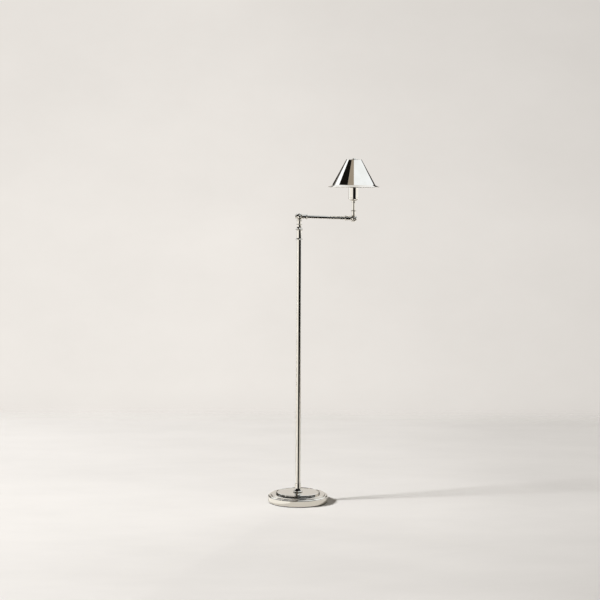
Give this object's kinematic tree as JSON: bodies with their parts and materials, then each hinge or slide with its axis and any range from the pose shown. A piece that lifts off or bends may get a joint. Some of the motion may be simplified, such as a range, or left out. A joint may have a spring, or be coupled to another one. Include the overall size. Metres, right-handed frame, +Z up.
{
  "type": "bridge floor lamp",
  "caption": "Polished metal floor lamp with a stepped round base, a slim pole, a jointed bridge arm and a metal cone shade.",
  "frame": {"origin": "middle of the base's underside, on the floor and on the pole's axis", "axes": "+Z up along the pole, +X along the arm away from the pole, -Y towards the viewer"},
  "size_m": [0.4164, 0.2304, 1.3157],
  "materials": {
    "polished_nickel": "mirror-polished nickel plate",
    "cast_iron": "rough cast, black wash",
    "felt": "black felt",
    "black_plastic": "moulded, matt",
    "zinc_steel": "zinc plated",
    "brass": "turned, unlacquered",
    "nylon": "natural",
    "fibre": "vulcanised fibre",
    "porcelain": "glazed white",
    "bulb_cap_metal": "rolled thread",
    "frosted_glass": "frosted white"
  },
  "bodies": {
    "stand": {"base_pad": "felt", "base_weight": "cast_iron", "base_cover": "polished_nickel", "lead_bushing": "black_plastic", "base_pipe": "zinc_steel", "clamp_washer": "zinc_steel", "clamp_nut": "zinc_steel", "foot_ferrule": "polished_nickel", "pole": "polished_nickel", "pole_foot_plug": "brass", "pole_head": "brass", "collet": "brass"},
    "collar": {"lock_collar": "polished_nickel"},
    "riser": {"riser_tube": "polished_nickel", "riser_guide": "nylon", "swivel_pin": "brass", "swivel_nut": "zinc_steel"},
    "neck": {"neck": "polished_nickel", "neck_ball_half": "polished_nickel", "end_button": "polished_nickel", "left_pivot_screw": "polished_nickel", "left_spring_washer": "zinc_steel", "left_friction_washer": "fibre", "left_cap_nut": "polished_nickel"},
    "arm": {"arm_left_ball_half": "polished_nickel", "left_arm_ferrule": "polished_nickel", "arm_tube": "polished_nickel", "right_arm_ferrule": "polished_nickel", "arm_right_ball_half": "polished_nickel", "right_pivot_screw": "polished_nickel", "right_spring_washer": "zinc_steel", "right_friction_washer": "fibre", "right_cap_nut": "polished_nickel"},
    "head": {"head_ball_half": "polished_nickel", "stem_ferrule": "polished_nickel", "stem_tube": "polished_nickel", "holder_cup": "polished_nickel", "holder_cover": "polished_nickel", "holder_pipe": "zinc_steel", "holder_nut": "zinc_steel", "insulator": "porcelain", "screw_shell": "brass", "holder_skirt": "black_plastic", "centre_contact": "brass", "terminal_screws": "zinc_steel", "bulb_cap": "bulb_cap_metal", "bulb_glass": "frosted_glass", "shade_carrier": "zinc_steel", "carrier_ring_nut": "zinc_steel", "spider": "polished_nickel", "finial": "polished_nickel", "shade": "polished_nickel"}
  },
  "joints": [
    {"name": "collar_twist", "type": "hinge", "parent": "stand", "child": "collar", "pos_m": [0, 0, 1.0249], "axis": [0, 0, 1], "range_deg": [0, 120]},
    {"name": "riser_slide", "type": "slide", "parent": "stand", "child": "riser", "axis": [0, 0, 1], "range_m": [0, 0.3]},
    {"name": "neck_swivel", "type": "hinge", "parent": "riser", "child": "neck", "pos_m": [0, 0, 1.0548], "axis": [0, 0, 1], "range_deg": [-170, 170]},
    {"name": "arm_tilt", "type": "hinge", "parent": "neck", "child": "arm", "pos_m": [0, 0, 1.094], "axis": [0, -1, 0], "range_deg": [-18, 85]},
    {"name": "head_tilt", "type": "hinge", "parent": "arm", "child": "head", "pos_m": [0.20491, 0, 1.08792], "axis": [0, 1, 0], "range_deg": [-18, 90]}
  ]
}
